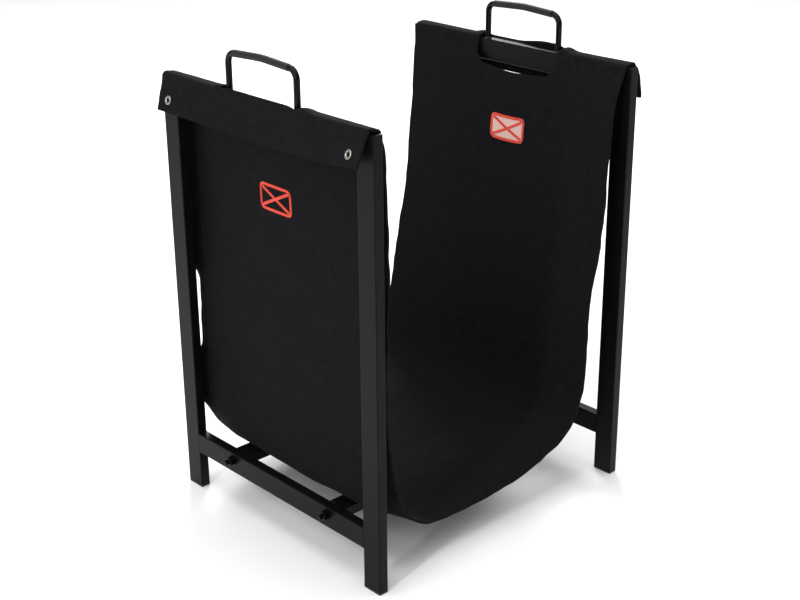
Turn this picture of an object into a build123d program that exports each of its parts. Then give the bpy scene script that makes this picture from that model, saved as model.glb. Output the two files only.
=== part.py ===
from build123d import *
import os
from collections import namedtuple
from math import cos, radians, tan

os.makedirs("parts", exist_ok=True)

# Log carrier: two welded side frames of flat tube, joined low down by two bolted
# crossbars, with a felt sling that hangs between the top rails and lifts off.
# X runs across, from the left frame to the right one. Y runs along the logs, with the
# open front at -Y. Z is up, and the feet stand on Z = 0. All sizes are in millimetres.

# Flat tube, the same section for legs, rails and crossbars
TUBE_WIDE = 25.0
TUBE_THIN = 12.0
TUBE_WALL = 1.5
TUBE_CORNER = 1.2

# Stand
STAND_WIDTH = 390.0
STAND_DEPTH = 342.0
FRAME_HEIGHT = 501.0
LOWER_RAIL_TOP = 72.5
CROSSBAR_LEVEL = 63.5
FRONT_CROSSBAR_Y = -87.0
BACK_CROSSBAR_Y = 80.0

# Foot plugs
PLUG_HEAD = 2.5
PLUG_DEPTH = 14.0
PLUG_WALL = 1.4
PLUG_RIB = 1.2
PLUG_RIB_PITCH = 4.5
PLUG_RIB_COUNT = 3
PLUG_FIT = 0.05
PLUG_RIB_STAND = 0.7

# Handles: a bent round bar, welded on the top rail
HANDLE_BAR = 7.0
HANDLE_SPAN = 110.0
HANDLE_RISE = 44.0
HANDLE_BOW = 3.0
HANDLE_BEND = 11.0
HANDLE_BOW_RADIUS = 150.0
LEFT_HANDLE_Y = 1.5
RIGHT_HANDLE_Y = -5.0
HANDLE_WELD = 1.5

# Grip sleeve shrunk on the top of each handle
SLEEVE_WALL = 0.4
SLEEVE_FIT = 0.05

# Crossbar fixings
STUD = 6.0
STUD_HOLE = 6.6
STUD_SHOWS = 5.5
STUD_CHAMFER = 0.7
THREAD_FIT = 0.05
BLOCK_LENGTH = 16.0
BLOCK_FIT = 0.05
WASHER_OUTSIDE = 12.0
WASHER_HOLE = 6.4
WASHER_THICK = 1.6
NUT_FLATS = 10.0
NUT_THICK = 5.0
NUT_CHAMFER_ANGLE = 30.0

# Sling: one sheet of thick felt
FELT = 3.0
FELT_GAP = 0.35
SLING_WIDTH = 330.0
SLOT_LENGTH = 124.0
SLOT_BELOW_RAIL = 3.0
SLOT_CORNER = 9.0
SLOT_EDGE_TO_WELD = 0.6
FLAP_HANG_OUT = 10.0
FLAP_HANG_DROP = 39.0
FLAP_KICK_OUT = 17.0
FLAP_KICK_DROP = 31.0
FLAP_LIFT = 1.5

# Eyelets in the flap corners
EYELET_HOLE = 3.6
EYELET_OUTSIDE = 9.6
EYELET_INSET = 17.0
EYELET_UP = 14.0
EYELET_RIM = 0.9
EYELET_BARREL = 0.5
EYELET_FIT = 0.12

# Planes and edges worked out from the sizes above
FRAME_OUT = STAND_WIDTH / 2
FRAME_MID = FRAME_OUT - TUBE_THIN / 2
FRAME_IN = FRAME_OUT - TUBE_THIN
LEG_MID_Y = STAND_DEPTH / 2 - TUBE_WIDE / 2
RAIL_HALF = STAND_DEPTH / 2 - TUBE_WIDE
RAIL_UNDER = FRAME_HEIGHT - TUBE_WIDE
LOWER_RAIL_MID = LOWER_RAIL_TOP - TUBE_WIDE / 2
CROSSBAR_TOP = CROSSBAR_LEVEL + TUBE_THIN / 2
SIDES = {"left": -1, "right": 1}
ENDS = {"front": -1, "back": 1}
CROSSBARS = {"front": FRONT_CROSSBAR_Y, "back": BACK_CROSSBAR_Y}
HANDLE_Y = {"left": LEFT_HANDLE_Y, "right": RIGHT_HANDLE_Y}
CLEAR = 1.0


def save(name, shape):
    """Writes one node."""
    shape.label = name
    export_step(shape, f"parts/{name}.step")


def group(solids):
    """Holds identical fasteners together as separate solids."""
    return Compound(children=list(solids))


def tube(length, wide, thin):
    """A flat tube along +Z from Z = 0, with its wide and thin faces along X and Y."""
    outside = RectangleRounded(wide, thin, TUBE_CORNER)
    inside = Rectangle(wide - 2 * TUBE_WALL, thin - 2 * TUBE_WALL)
    return extrude(outside - inside, length)


def keep_below(shape, origin, normal):
    """Cuts away what lies on the normal's side of a plane, for a mitre."""
    reach = 3 * STAND_DEPTH
    half_space = Plane(origin=origin, z_dir=normal) * Box(
        reach, reach, reach, align=(Align.CENTER, Align.CENTER, Align.MIN)
    )
    return shape - half_space


def leg(side, end):
    """A leg: wide face to the side, thin face to the front, mitred into the top rail."""
    x = side * FRAME_MID
    y = end * LEG_MID_Y
    post = Pos(x, y, PLUG_HEAD) * tube(FRAME_HEIGHT - PLUG_HEAD, TUBE_THIN, TUBE_WIDE)
    corner = (x, end * STAND_DEPTH / 2, FRAME_HEIGHT)
    return keep_below(post, corner, (0, -end, 1))


def top_rail(side):
    """The rail that carries the sling, mitred at both ends."""
    bar = Rot(90, 0, 0) * tube(STAND_DEPTH, TUBE_THIN, TUBE_WIDE)
    rail = Pos(side * FRAME_MID, STAND_DEPTH / 2, FRAME_HEIGHT - TUBE_WIDE / 2) * bar
    for end in ENDS.values():
        corner = (side * FRAME_MID, end * STAND_DEPTH / 2, FRAME_HEIGHT)
        rail = keep_below(rail, corner, (0, end, -1))
    return rail


def lower_rail(side):
    """The rail between the legs, drilled through for the two crossbar studs."""
    bar = Rot(90, 0, 0) * tube(2 * RAIL_HALF, TUBE_THIN, TUBE_WIDE)
    rail = Pos(side * FRAME_MID, RAIL_HALF, LOWER_RAIL_MID) * bar
    for y in CROSSBARS.values():
        drill = Cylinder(STUD_HOLE / 2, TUBE_THIN + 2 * CLEAR, rotation=(0, 90, 0))
        rail -= Pos(side * FRAME_MID, y, CROSSBAR_LEVEL) * drill
    return rail


def crossbar(y):
    """A crossbar laid flat between the lower rails."""
    bar = Rot(0, 90, 0) * tube(2 * FRAME_IN, TUBE_THIN, TUBE_WIDE)
    return Pos(-FRAME_IN, y, CROSSBAR_LEVEL) * bar


def at_fixings(part, outward=0.0):
    """Copies a part that points along +X to the four places where a stud goes through."""
    copies = []
    for side in SIDES.values():
        for y in CROSSBARS.values():
            turn = Rot(0, 0, 0) if side > 0 else Rot(0, 0, 180)
            place = Pos(side * (FRAME_OUT + outward), y, CROSSBAR_LEVEL)
            copies.append(place * turn * part)
    return copies


def end_block():
    """A tapped block inside a crossbar's end, from the rail's inner face inwards."""
    size_y = TUBE_WIDE - 2 * (TUBE_WALL + BLOCK_FIT)
    size_z = TUBE_THIN - 2 * (TUBE_WALL + BLOCK_FIT)
    block = Box(BLOCK_LENGTH, size_y, size_z, align=(Align.MAX, Align.CENTER, Align.CENTER))
    block -= Cylinder(STUD / 2 + THREAD_FIT, 3 * BLOCK_LENGTH, rotation=(0, 90, 0))
    return Pos(-TUBE_THIN, 0, 0) * block


def stud():
    """A stud from inside the tapped block, out through the rail, washer and nut."""
    beyond = WASHER_THICK + NUT_THICK + STUD_SHOWS
    length = BLOCK_LENGTH - CLEAR + TUBE_THIN + beyond
    rod = Cylinder(STUD / 2, length, align=(Align.CENTER, Align.CENTER, Align.MAX))
    rod = chamfer(rod.edges().filter_by(GeomType.CIRCLE), STUD_CHAMFER)
    return Pos(beyond, 0, 0) * Rot(0, 90, 0) * rod


def washer():
    """A plain washer on the rail's outer face."""
    ring = Circle(WASHER_OUTSIDE / 2) - Circle(WASHER_HOLE / 2)
    return Rot(0, 90, 0) * extrude(ring, WASHER_THICK)


def nut():
    """A hexagon nut with its corners chamfered at both faces."""
    corner_radius = NUT_FLATS / 2 / cos(radians(30))
    hexagon = RegularPolygon(corner_radius, 6) - Circle(STUD / 2 + THREAD_FIT)
    body = extrude(hexagon, NUT_THICK)
    drop = (corner_radius - NUT_FLATS / 2) * tan(radians(NUT_CHAMFER_ANGLE))
    profile = Polyline(
        (0, 0),
        (NUT_FLATS / 2, 0),
        (corner_radius, drop),
        (corner_radius, NUT_THICK - drop),
        (NUT_FLATS / 2, NUT_THICK),
        (0, NUT_THICK),
        close=True,
    )
    turned = revolve(Plane.XZ * make_face(profile), Axis.Z)
    return Rot(0, 90, 0) * (body & turned)


def foot_plug(side, end):
    """A push-in plug: a head flush with the tube, and a ribbed skirt up inside it."""
    bore_x = TUBE_THIN - 2 * TUBE_WALL
    bore_y = TUBE_WIDE - 2 * TUBE_WALL
    head = extrude(RectangleRounded(TUBE_THIN, TUBE_WIDE, TUBE_CORNER), PLUG_HEAD)
    head = chamfer(head.faces().sort_by(Axis.Z)[0].edges(), PLUG_HEAD / 4)
    skirt_x = bore_x - 2 * (PLUG_FIT + PLUG_RIB_STAND)
    skirt_y = bore_y - 2 * (PLUG_FIT + PLUG_RIB_STAND)
    skirt = Rectangle(skirt_x, skirt_y) - Rectangle(skirt_x - 2 * PLUG_WALL, skirt_y - 2 * PLUG_WALL)
    plug = head + Pos(0, 0, PLUG_HEAD) * extrude(skirt, PLUG_DEPTH)
    rib = Rectangle(bore_x - 2 * PLUG_FIT, bore_y - 2 * PLUG_FIT) - Rectangle(
        skirt_x - PLUG_WALL, skirt_y - PLUG_WALL
    )
    for step in range(PLUG_RIB_COUNT):
        level = PLUG_HEAD + CLEAR + step * PLUG_RIB_PITCH
        plug += Pos(0, 0, level) * extrude(rib, PLUG_RIB)
    return Pos(side * FRAME_MID, end * LEG_MID_Y, 0) * plug


def handle_path():
    """The handle's centre line in its own plane: up, over a bowed top, and down."""
    half = HANDLE_SPAN / 2
    eaves = HANDLE_RISE - HANDLE_BOW
    return FilletPolyline(
        (-half, 0),
        (-half, eaves),
        (0, HANDLE_RISE),
        (half, eaves),
        (half, 0),
        radius=[HANDLE_BEND, HANDLE_BOW_RADIUS, HANDLE_BEND],
    )


def place_handle(side_name, part):
    """Stands a part drawn in the handle's plane on the top rail."""
    upright = Plane(origin=(0, 0, 0), x_dir=(0, 1, 0), z_dir=(1, 0, 0))
    return Pos(SIDES[side_name] * FRAME_MID, HANDLE_Y[side_name], FRAME_HEIGHT) * (upright * part)


def handle(side_name):
    """The bent bar, with a weld fillet round each foot."""
    path = handle_path()
    start = Plane(origin=path @ 0, z_dir=path % 0)
    bar = sweep(start * Circle(HANDLE_BAR / 2), path=path)
    for foot in (-HANDLE_SPAN / 2, HANDLE_SPAN / 2):
        weld = Cone(
            HANDLE_BAR / 2 + HANDLE_WELD,
            HANDLE_BAR / 2,
            HANDLE_WELD,
            align=(Align.CENTER, Align.CENTER, Align.MIN),
        )
        bar += Plane(origin=(foot, 0, 0), z_dir=(0, 1, 0)) * weld
    return place_handle(side_name, bar)


def grip_sleeve(side_name):
    """A thin sleeve on the bowed top of the bar, from bend to bend."""
    edges = handle_path().edges()
    top = Wire(edges[2:-2])
    ring = Circle(HANDLE_BAR / 2 + SLEEVE_FIT + SLEEVE_WALL) - Circle(HANDLE_BAR / 2 + SLEEVE_FIT)
    start = Plane(origin=top @ 0, z_dir=top % 0)
    return place_handle(side_name, sweep(start * ring, path=top))


# The sling's levels. The felt's middle line runs half its thickness off what it rests on.
HALF = FELT / 2
SADDLE = FRAME_HEIGHT + FELT_GAP + HALF
FLOOR = CROSSBAR_TOP + FELT_GAP + HALF
SHOULDER = TUBE_CORNER + FELT_GAP + HALF

# Four stations of the felt: its front hem, the outer edges of the two crossbars, and its
# back hem. At each, drop is how far the floor hangs below its level on the crossbars. The
# left wall stands in by top_in below the rail, by low_in low down and by heel_in at its
# heel, which is rounded by heel_round. The right wall stands in by right_in, and kick is how
# far the flaps stand out, from 0 to 1.
Station = namedtuple("Station", "y drop top_in low_in heel_in heel_round right_in kick")
STATIONS = (
    Station(-SLING_WIDTH / 2, 25.0, 6.5, 4.5, 15.0, 60.0, 12.0, 1.0),
    Station(FRONT_CROSSBAR_Y - TUBE_WIDE / 2, 0.0, 6.0, 10.0, 11.0, 24.0, 8.0, 0.1),
    Station(BACK_CROSSBAR_Y + TUBE_WIDE / 2, 0.0, 8.0, 12.0, 11.0, 24.0, 3.0, 0.1),
    Station(SLING_WIDTH / 2, 27.0, 15.0, 14.0, 15.0, 60.0, 0.0, 0.5),
)

# Where the felt turns as it crosses the floor and climbs the right wall: how far in from
# the right wall's plane, how far above the floor, the share of the drop and of right_in that
# it takes, and the most that it is rounded
Turn = namedtuple("Turn", "wall_in up drop_share in_share round")
TURNS = (
    Turn(190.0, 0.0, 1.0, 0.0, 1500.0),
    Turn(80.0, 6.0, 0.2, 0.0, 100.0),
    Turn(46.0, 47.0, 0.0, 0.0, 100.0),
    Turn(35.0, 154.0, 0.0, 0.7, 300.0),
    Turn(16.0, 250.0, 0.0, 1.0, 300.0),
)
LOW_UP = 119.0
HEEL_UP = 3.0
TOP_ROUND = 60.0
LOW_ROUND = 1500.0

# The most of a run between two corners that one corner's arc may take
ARC_SHARE = 0.45


def between(low, high, share):
    """A value part of the way from one to the other."""
    return low + (high - low) * share


def flap_tip(kick):
    """The free edge of a flap, as a distance from the middle and a height."""
    out = FRAME_OUT + between(FLAP_HANG_OUT, FLAP_KICK_OUT, kick)
    return out, FRAME_HEIGHT - between(FLAP_HANG_DROP, FLAP_KICK_DROP, kick)


def sling_line(station):
    """Corners of the felt's middle line in X and Z, each with the most that it is rounded."""
    wall = FRAME_IN - FELT_GAP - HALF
    flap = FRAME_OUT + FELT_GAP + HALF
    lift = SADDLE + FLAP_LIFT * station.kick
    tip_x, tip_z = flap_tip(station.kick)
    turns = [
        (
            wall - turn.wall_in - turn.in_share * station.right_in,
            FLOOR + turn.up - turn.drop_share * station.drop,
            turn.round,
        )
        for turn in TURNS
    ]
    return (
        (-tip_x, tip_z, 0),
        (-flap, lift, SHOULDER),
        (-wall, SADDLE, SHOULDER),
        (station.top_in - wall, RAIL_UNDER, TOP_ROUND),
        (station.low_in - wall, FLOOR + LOW_UP, LOW_ROUND),
        (station.heel_in - wall, FLOOR + HEEL_UP - station.drop / 2, station.heel_round),
        *turns,
        (wall, SADDLE, SHOULDER),
        (flap, lift, SHOULDER),
        (tip_x, tip_z, 0),
    )


def rounded_line(corners, off, y):
    """The felt's middle line moved sideways by a distance, with its corners rounded."""
    points = [Vector(x, z) for x, z, _ in corners]
    runs = [b - a for a, b in zip(points, points[1:])]
    moved = []
    radii = []
    for number, point in enumerate(points):
        before = runs[max(number - 1, 0)]
        after = runs[min(number, len(runs) - 1)]
        middle = (before.normalized() + after.normalized()).normalized()
        normal = Vector(-middle.Y, middle.X)
        corner = point + normal * (off / middle.dot(after.normalized()))
        moved.append((corner.X, y, corner.Y))
        if 0 < number < len(points) - 1:
            half_turn = radians(before.get_angle(after) / 2)
            room = ARC_SHARE * min(before.length, after.length) / tan(half_turn)
            turns_up = before.X * after.Y - before.Y * after.X > 0
            radii.append(min(room, corners[number][2]) - (off if turns_up else -off))
    return FilletPolyline(*moved, radius=radii)


def sling_section(station):
    """The closed outline of the felt's section at one station."""
    corners = sling_line(station)
    upper = rounded_line(corners, HALF, station.y)
    lower = rounded_line(corners, -HALF, station.y)
    caps = [Line(upper @ 0, lower @ 0), Line(upper @ 1, lower @ 1)]
    return Wire(upper.edges() + lower.edges() + caps)


def slot(side_name):
    """The cut for a handle: over the rail's top and down its inner side."""
    side = SIDES[side_name]
    outer = FRAME_MID + HANDLE_BAR / 2 + HANDLE_WELD + SLOT_EDGE_TO_WELD
    inner = FRAME_IN - 4 * FELT
    depth = outer - inner
    low = RAIL_UNDER - SLOT_BELOW_RAIL
    height = SADDLE + 6 * FELT - low
    block = Box(depth, SLOT_LENGTH, height, align=(Align.CENTER, Align.CENTER, Align.MIN))
    lower_corners = block.faces().sort_by(Axis.Z)[0].edges().filter_by(Axis.X)
    block = chamfer(lower_corners, SLOT_CORNER)
    return Pos(side * (inner + depth / 2), HANDLE_Y[side_name], low) * block


def flap_spot(station, up):
    """A point on a flap's middle, a distance up from its free edge, and the way up."""
    corners = sling_line(station)
    tip = Vector(corners[-1][0], station.y, corners[-1][1])
    shoulder = Vector(corners[-2][0], station.y, corners[-2][1])
    rise = (shoulder - tip).normalized()
    return tip + rise * up, rise


def eyelet_places():
    """Where the eyelets go, each as a plane on a flap's middle with its normal outwards."""
    places = []
    for hem, inner in (STATIONS[:2], STATIONS[:-3:-1]):
        share = EYELET_INSET / abs(hem.y - inner.y)
        hem_spot, hem_rise = flap_spot(hem, EYELET_UP)
        inner_spot, inner_rise = flap_spot(inner, EYELET_UP)
        spot = between(hem_spot, inner_spot, share)
        along = (inner_spot - hem_spot) * (1 if hem.y < 0 else -1)
        normal = along.cross(between(hem_rise, inner_rise, share))
        for side in SIDES.values():
            origin = Vector(side * spot.X, spot.Y, spot.Z)
            outwards = Vector(side * normal.X, normal.Y, normal.Z)
            places.append(Plane(origin=origin, z_dir=outwards))
    return places


def eyelet(plane):
    """One eyelet: a rolled rim outside, a barrel through the felt and a ring behind."""
    face = HALF + EYELET_FIT
    profile = Polyline(
        (EYELET_HOLE / 2, -face - EYELET_RIM),
        (EYELET_OUTSIDE / 2, -face),
        (EYELET_HOLE / 2 + EYELET_BARREL, -face),
        (EYELET_HOLE / 2 + EYELET_BARREL, face),
        (EYELET_OUTSIDE / 2, face),
        (EYELET_HOLE / 2 + EYELET_RIM / 2, face + EYELET_RIM),
        (EYELET_HOLE / 2, face + EYELET_RIM / 2),
        close=True,
    )
    ring = revolve(Plane.XZ * make_face(profile), Axis.Z)
    return plane * ring


def sling():
    """The felt sheet, with a slot at each handle and a hole at each eyelet."""
    sheet = Solid.make_loft([sling_section(station) for station in STATIONS], ruled=True)
    for side_name in SIDES:
        sheet -= slot(side_name)
    for plane in eyelet_places():
        sheet -= plane * Cylinder(EYELET_HOLE / 2 + EYELET_BARREL + EYELET_FIT, 6 * FELT)
    return sheet


for side_name, side in SIDES.items():
    for end_name, end in ENDS.items():
        save(f"{side_name}_{end_name}_leg", leg(side, end))
        save(f"{side_name}_{end_name}_foot_plug", foot_plug(side, end))
    save(f"{side_name}_top_rail", top_rail(side))
    save(f"{side_name}_lower_rail", lower_rail(side))
    save(f"{side_name}_handle", handle(side_name))
    save(f"{side_name}_grip_sleeve", grip_sleeve(side_name))

for bar_name, bar_y in CROSSBARS.items():
    save(f"{bar_name}_crossbar", crossbar(bar_y))

save("crossbar_end_blocks", group(at_fixings(end_block())))
save("crossbar_studs", group(at_fixings(stud())))
save("stud_washers", group(at_fixings(washer())))
save("stud_nuts", group(at_fixings(nut(), WASHER_THICK)))

save("sling", sling())
save("eyelets", group(eyelet(plane) for plane in eyelet_places()))
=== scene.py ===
# %% [markdown]
# A log carrier for the hearth: two black side frames of flat tube, two crossbars low down,
# a bent handle on each side, and one sheet of thick felt that hangs between the top rails.
# The rigid pieces come from the CAD model. Here the felt is laid again as a finer sheet, every
# surface gets its finish, and the camera, floor and lights are set up. Lengths are in metres
# in Blender, so sizes are written in millimetres and multiplied by MM.

# %% Load the frame and measure the CAD model
import math

import bmesh
import bpy
from mathutils import Matrix, Vector, noise


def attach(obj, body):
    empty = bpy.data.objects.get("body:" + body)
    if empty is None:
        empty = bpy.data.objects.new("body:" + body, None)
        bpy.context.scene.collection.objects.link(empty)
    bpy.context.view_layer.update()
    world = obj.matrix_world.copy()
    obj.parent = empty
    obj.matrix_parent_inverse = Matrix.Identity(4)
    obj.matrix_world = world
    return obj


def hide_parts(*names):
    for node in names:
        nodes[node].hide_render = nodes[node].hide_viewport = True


MM = 0.001
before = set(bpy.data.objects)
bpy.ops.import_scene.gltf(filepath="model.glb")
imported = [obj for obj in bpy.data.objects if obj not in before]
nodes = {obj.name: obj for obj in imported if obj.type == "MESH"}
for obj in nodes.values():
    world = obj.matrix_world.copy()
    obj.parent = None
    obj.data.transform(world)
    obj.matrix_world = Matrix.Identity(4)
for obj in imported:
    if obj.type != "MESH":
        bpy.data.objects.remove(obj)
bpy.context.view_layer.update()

# %% [markdown]
# Paint charts give colours as sRGB hex, but Blender's shaders work in linear light. One
# function does the change. A second one adds a node, sets it up and links its inputs, which
# keeps the materials short without hiding what each node does. The last one puts a finished
# material on pieces of the CAD model.

# %% Helpers for colours and nodes
def linear(hex_colour):
    """An sRGB hex colour as linear red, green, blue and alpha."""
    channels = [int(hex_colour[i : i + 2], 16) / 255 for i in (0, 2, 4)]
    return (*((c / 12.92) if c <= 0.04045 else ((c + 0.055) / 1.055) ** 2.4 for c in channels), 1)


def add(tree, kind, settings=None, **inputs):
    """Adds a node. An input is named with _ for spaces, or is _ and its number, and its value
    is a plain one or another node's output."""
    node = tree.nodes.new(kind)
    for name, value in (settings or {}).items():
        setattr(node, name, value)
    for name, value in inputs.items():
        place = int(name[1:]) if name[1:].isdigit() else name.replace("_", " ")
        socket = node.inputs[place]
        if isinstance(value, bpy.types.NodeSocket):
            tree.links.new(value, socket)
        else:
            socket.default_value = value
    return node


def blank_material(name):
    """A material with nothing but its output, and the node tree to fill."""
    material = bpy.data.materials.new(name)
    material.use_nodes = True
    material.node_tree.nodes.clear()
    return material, material.node_tree


def finish_material(tree, shader):
    """Links the shader to the material's output."""
    output = add(tree, "ShaderNodeOutputMaterial")
    tree.links.new(shader.outputs["BSDF"], output.inputs["Surface"])


def per_mm(wavelength):
    """A texture scale, in waves per metre, from one wave's length in millimetres."""
    return 1 / (wavelength * MM)


def dress(names, material):
    """Gives the named CAD pieces this material alone."""
    for name in names:
        nodes[name].data.materials.clear()
        nodes[name].data.materials.append(material)


print("mid grey in linear light:", [round(v, 4) for v in linear("808080")[:3]])

# %% [markdown]
# The frame is steel tube with a baked black epoxy powder coat. Powder melts into a tough
# skin with a faint orange peel, a few millimetres from crest to crest, and a satin gloss that
# turns pale where a lamp is mirrored in it. A noise bump gives the peel, and a second, slow
# noise varies the roughness, as dust and handling do. Paint is a dielectric, so metallic
# stays 0 and the IOR is that of epoxy, about 1.55. The specular level is far below the 0.5 of
# a real coat: the wide pale floor is mirrored in every upright face, and at 0.5 it would turn
# the tubes grey, as they aren't in the photograph.

# %% Powder-coated steel for the tubes
def powder_coated_steel():
    material, tree = blank_material("powder_coated_steel_black")
    place = add(tree, "ShaderNodeTexCoord").outputs["Object"]
    peel = add(tree, "ShaderNodeTexNoise", Vector=place, Scale=per_mm(2.2), Detail=2.0)
    bump = add(tree, "ShaderNodeBump", Height=peel.outputs["Fac"], Strength=0.12, Distance=0.00025)
    wear = add(tree, "ShaderNodeTexNoise", Vector=place, Scale=per_mm(60), Detail=4.0)
    rough = add(tree, "ShaderNodeMapRange", Value=wear.outputs["Fac"], To_Min=0.30, To_Max=0.42)
    tint = add(tree, "ShaderNodeMix", {"data_type": "RGBA"}, Factor=wear.outputs["Fac"],
               _6=linear("070707"), _7=linear("0f0f0e"))
    shader = add(tree, "ShaderNodeBsdfPrincipled", Base_Color=tint.outputs[2], Metallic=0.0,
                 Roughness=rough.outputs["Result"], IOR=1.55, Specular_IOR_Level=0.08,
                 Normal=bump.outputs["Normal"])
    finish_material(tree, shader)
    return material


TUBES = [f"{side}_{end}_leg" for side in ("left", "right") for end in ("front", "back")]
TUBES += [f"{side}_{rail}_rail" for side in ("left", "right") for rail in ("top", "lower")]
TUBES += ["front_crossbar", "back_crossbar"]
dress(TUBES, powder_coated_steel())
print("powder coat on", len(TUBES), "tubes")

# %% [markdown]
# The handles are bent round bar with a thicker, glossier enamel. It flows smooth over the
# bends, so the highlights are long and sharp, which a low roughness gives. On the bowed top
# sits a heat-shrunk polyolefin sleeve, which is matt and faintly stippled, so it catches a
# broad grey light where the bare bar shows thin lines. The specular levels are low for the
# same reason as the paint's.

# %% Enamel and shrink sleeve for the handles
def gloss_enamel():
    material, tree = blank_material("gloss_enamel_black")
    place = add(tree, "ShaderNodeTexCoord").outputs["Object"]
    flow = add(tree, "ShaderNodeTexNoise", Vector=place, Scale=per_mm(5), Detail=1.0)
    bump = add(tree, "ShaderNodeBump", Height=flow.outputs["Fac"], Strength=0.08, Distance=0.0002)
    rough = add(tree, "ShaderNodeMapRange", Value=flow.outputs["Fac"], To_Min=0.08, To_Max=0.15)
    shader = add(tree, "ShaderNodeBsdfPrincipled", Base_Color=linear("050505"), Metallic=0.0,
                 Roughness=rough.outputs["Result"], IOR=1.55, Specular_IOR_Level=0.13,
                 Normal=bump.outputs["Normal"])
    finish_material(tree, shader)
    return material


def shrink_sleeve():
    material, tree = blank_material("heat_shrunk_polyolefin")
    place = add(tree, "ShaderNodeTexCoord").outputs["Object"]
    stipple = add(tree, "ShaderNodeTexNoise", Vector=place, Scale=per_mm(0.9), Detail=3.0)
    bump = add(tree, "ShaderNodeBump", Height=stipple.outputs["Fac"], Strength=0.35, Distance=0.0001)
    tint = add(tree, "ShaderNodeMix", {"data_type": "RGBA"}, Factor=stipple.outputs["Fac"],
               _6=linear("111110"), _7=linear("1c1c1b"))
    shader = add(tree, "ShaderNodeBsdfPrincipled", Base_Color=tint.outputs[2], Roughness=0.62,
                 IOR=1.5, Specular_IOR_Level=0.3, Normal=bump.outputs["Normal"])
    finish_material(tree, shader)
    return material


dress(["left_handle", "right_handle"], gloss_enamel())
dress(["left_grip_sleeve", "right_grip_sleeve"], shrink_sleeve())
print("enamel and sleeves on both handles")

# %% [markdown]
# The small hardware has three finishes. The studs, nuts and washers are steel with a black
# oxide skin, which keeps a dull metallic edge. The end blocks, hidden in the crossbars, are
# zinc-plated, bright and a little cloudy. The foot plugs are moulded low-density
# polyethylene, waxy and matt. Metals keep Blender's default IOR.

# %% Hardware finishes
def plated_metal(name, dark, light, roughness_range, cloud_mm):
    """A metal skin whose colour and roughness drift a little from place to place."""
    material, tree = blank_material(name)
    place = add(tree, "ShaderNodeTexCoord").outputs["Object"]
    cloud = add(tree, "ShaderNodeTexNoise", Vector=place, Scale=per_mm(cloud_mm), Detail=3.0)
    tint = add(tree, "ShaderNodeMix", {"data_type": "RGBA"}, Factor=cloud.outputs["Fac"],
               _6=linear(dark), _7=linear(light))
    rough = add(tree, "ShaderNodeMapRange", Value=cloud.outputs["Fac"],
                To_Min=roughness_range[0], To_Max=roughness_range[1])
    shader = add(tree, "ShaderNodeBsdfPrincipled", Base_Color=tint.outputs[2], Metallic=1.0,
                 Roughness=rough.outputs["Result"])
    finish_material(tree, shader)
    return material


def moulded_polyethylene():
    material, tree = blank_material("moulded_polyethylene_black")
    place = add(tree, "ShaderNodeTexCoord").outputs["Object"]
    grain = add(tree, "ShaderNodeTexNoise", Vector=place, Scale=per_mm(0.8), Detail=2.0)
    bump = add(tree, "ShaderNodeBump", Height=grain.outputs["Fac"], Strength=0.25, Distance=0.0001)
    rough = add(tree, "ShaderNodeMapRange", Value=grain.outputs["Fac"], To_Min=0.5, To_Max=0.62)
    shader = add(tree, "ShaderNodeBsdfPrincipled", Base_Color=linear("111111"), IOR=1.51,
                 Roughness=rough.outputs["Result"], Normal=bump.outputs["Normal"])
    finish_material(tree, shader)
    return material


zinc = plated_metal("zinc_plated_steel", "a9adb0", "d2d5d6", (0.28, 0.42), 3)
black_oxide = plated_metal("black_oxide_steel", "161616", "2a2a29", (0.38, 0.5), 3)
FIXINGS = ["crossbar_studs", "stud_nuts", "stud_washers"]
PLUGS = [f"{side}_{end}_foot_plug" for side in ("left", "right") for end in ("front", "back")]
dress(["crossbar_end_blocks"], zinc)
dress(FIXINGS, black_oxide)
dress(PLUGS, moulded_polyethylene())
print("hardware finished:", FIXINGS, PLUGS)

# %% [markdown]
# The sling is needle-punched felt, about 3 mm thick. Its fibres lie every way, so it has no
# weave. What the eye sees is a soft mottle a few millimetres wide, a fine fuzz and a pale
# bloom at grazing angles. Real fibres are far thinner than a pixel, so the fuzz is drawn
# about 1 mm wide. Swirled waves add the longer fibres that lie on the surface, and a little sheen
# gives the bloom. Loose fibres mirror next to nothing, so the specular level is low. A
# diagonal wave texture draws nearly three bands in one unit of its scale.

# %% Felt
FIBRE_DRAWN = 1.1
MOTTLE = 7.0
LOOSE_FIBRE = 2.6
BANDS_PER_SCALE = 3
SWIRL = (0.012, 0.012, 0.012)


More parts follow.
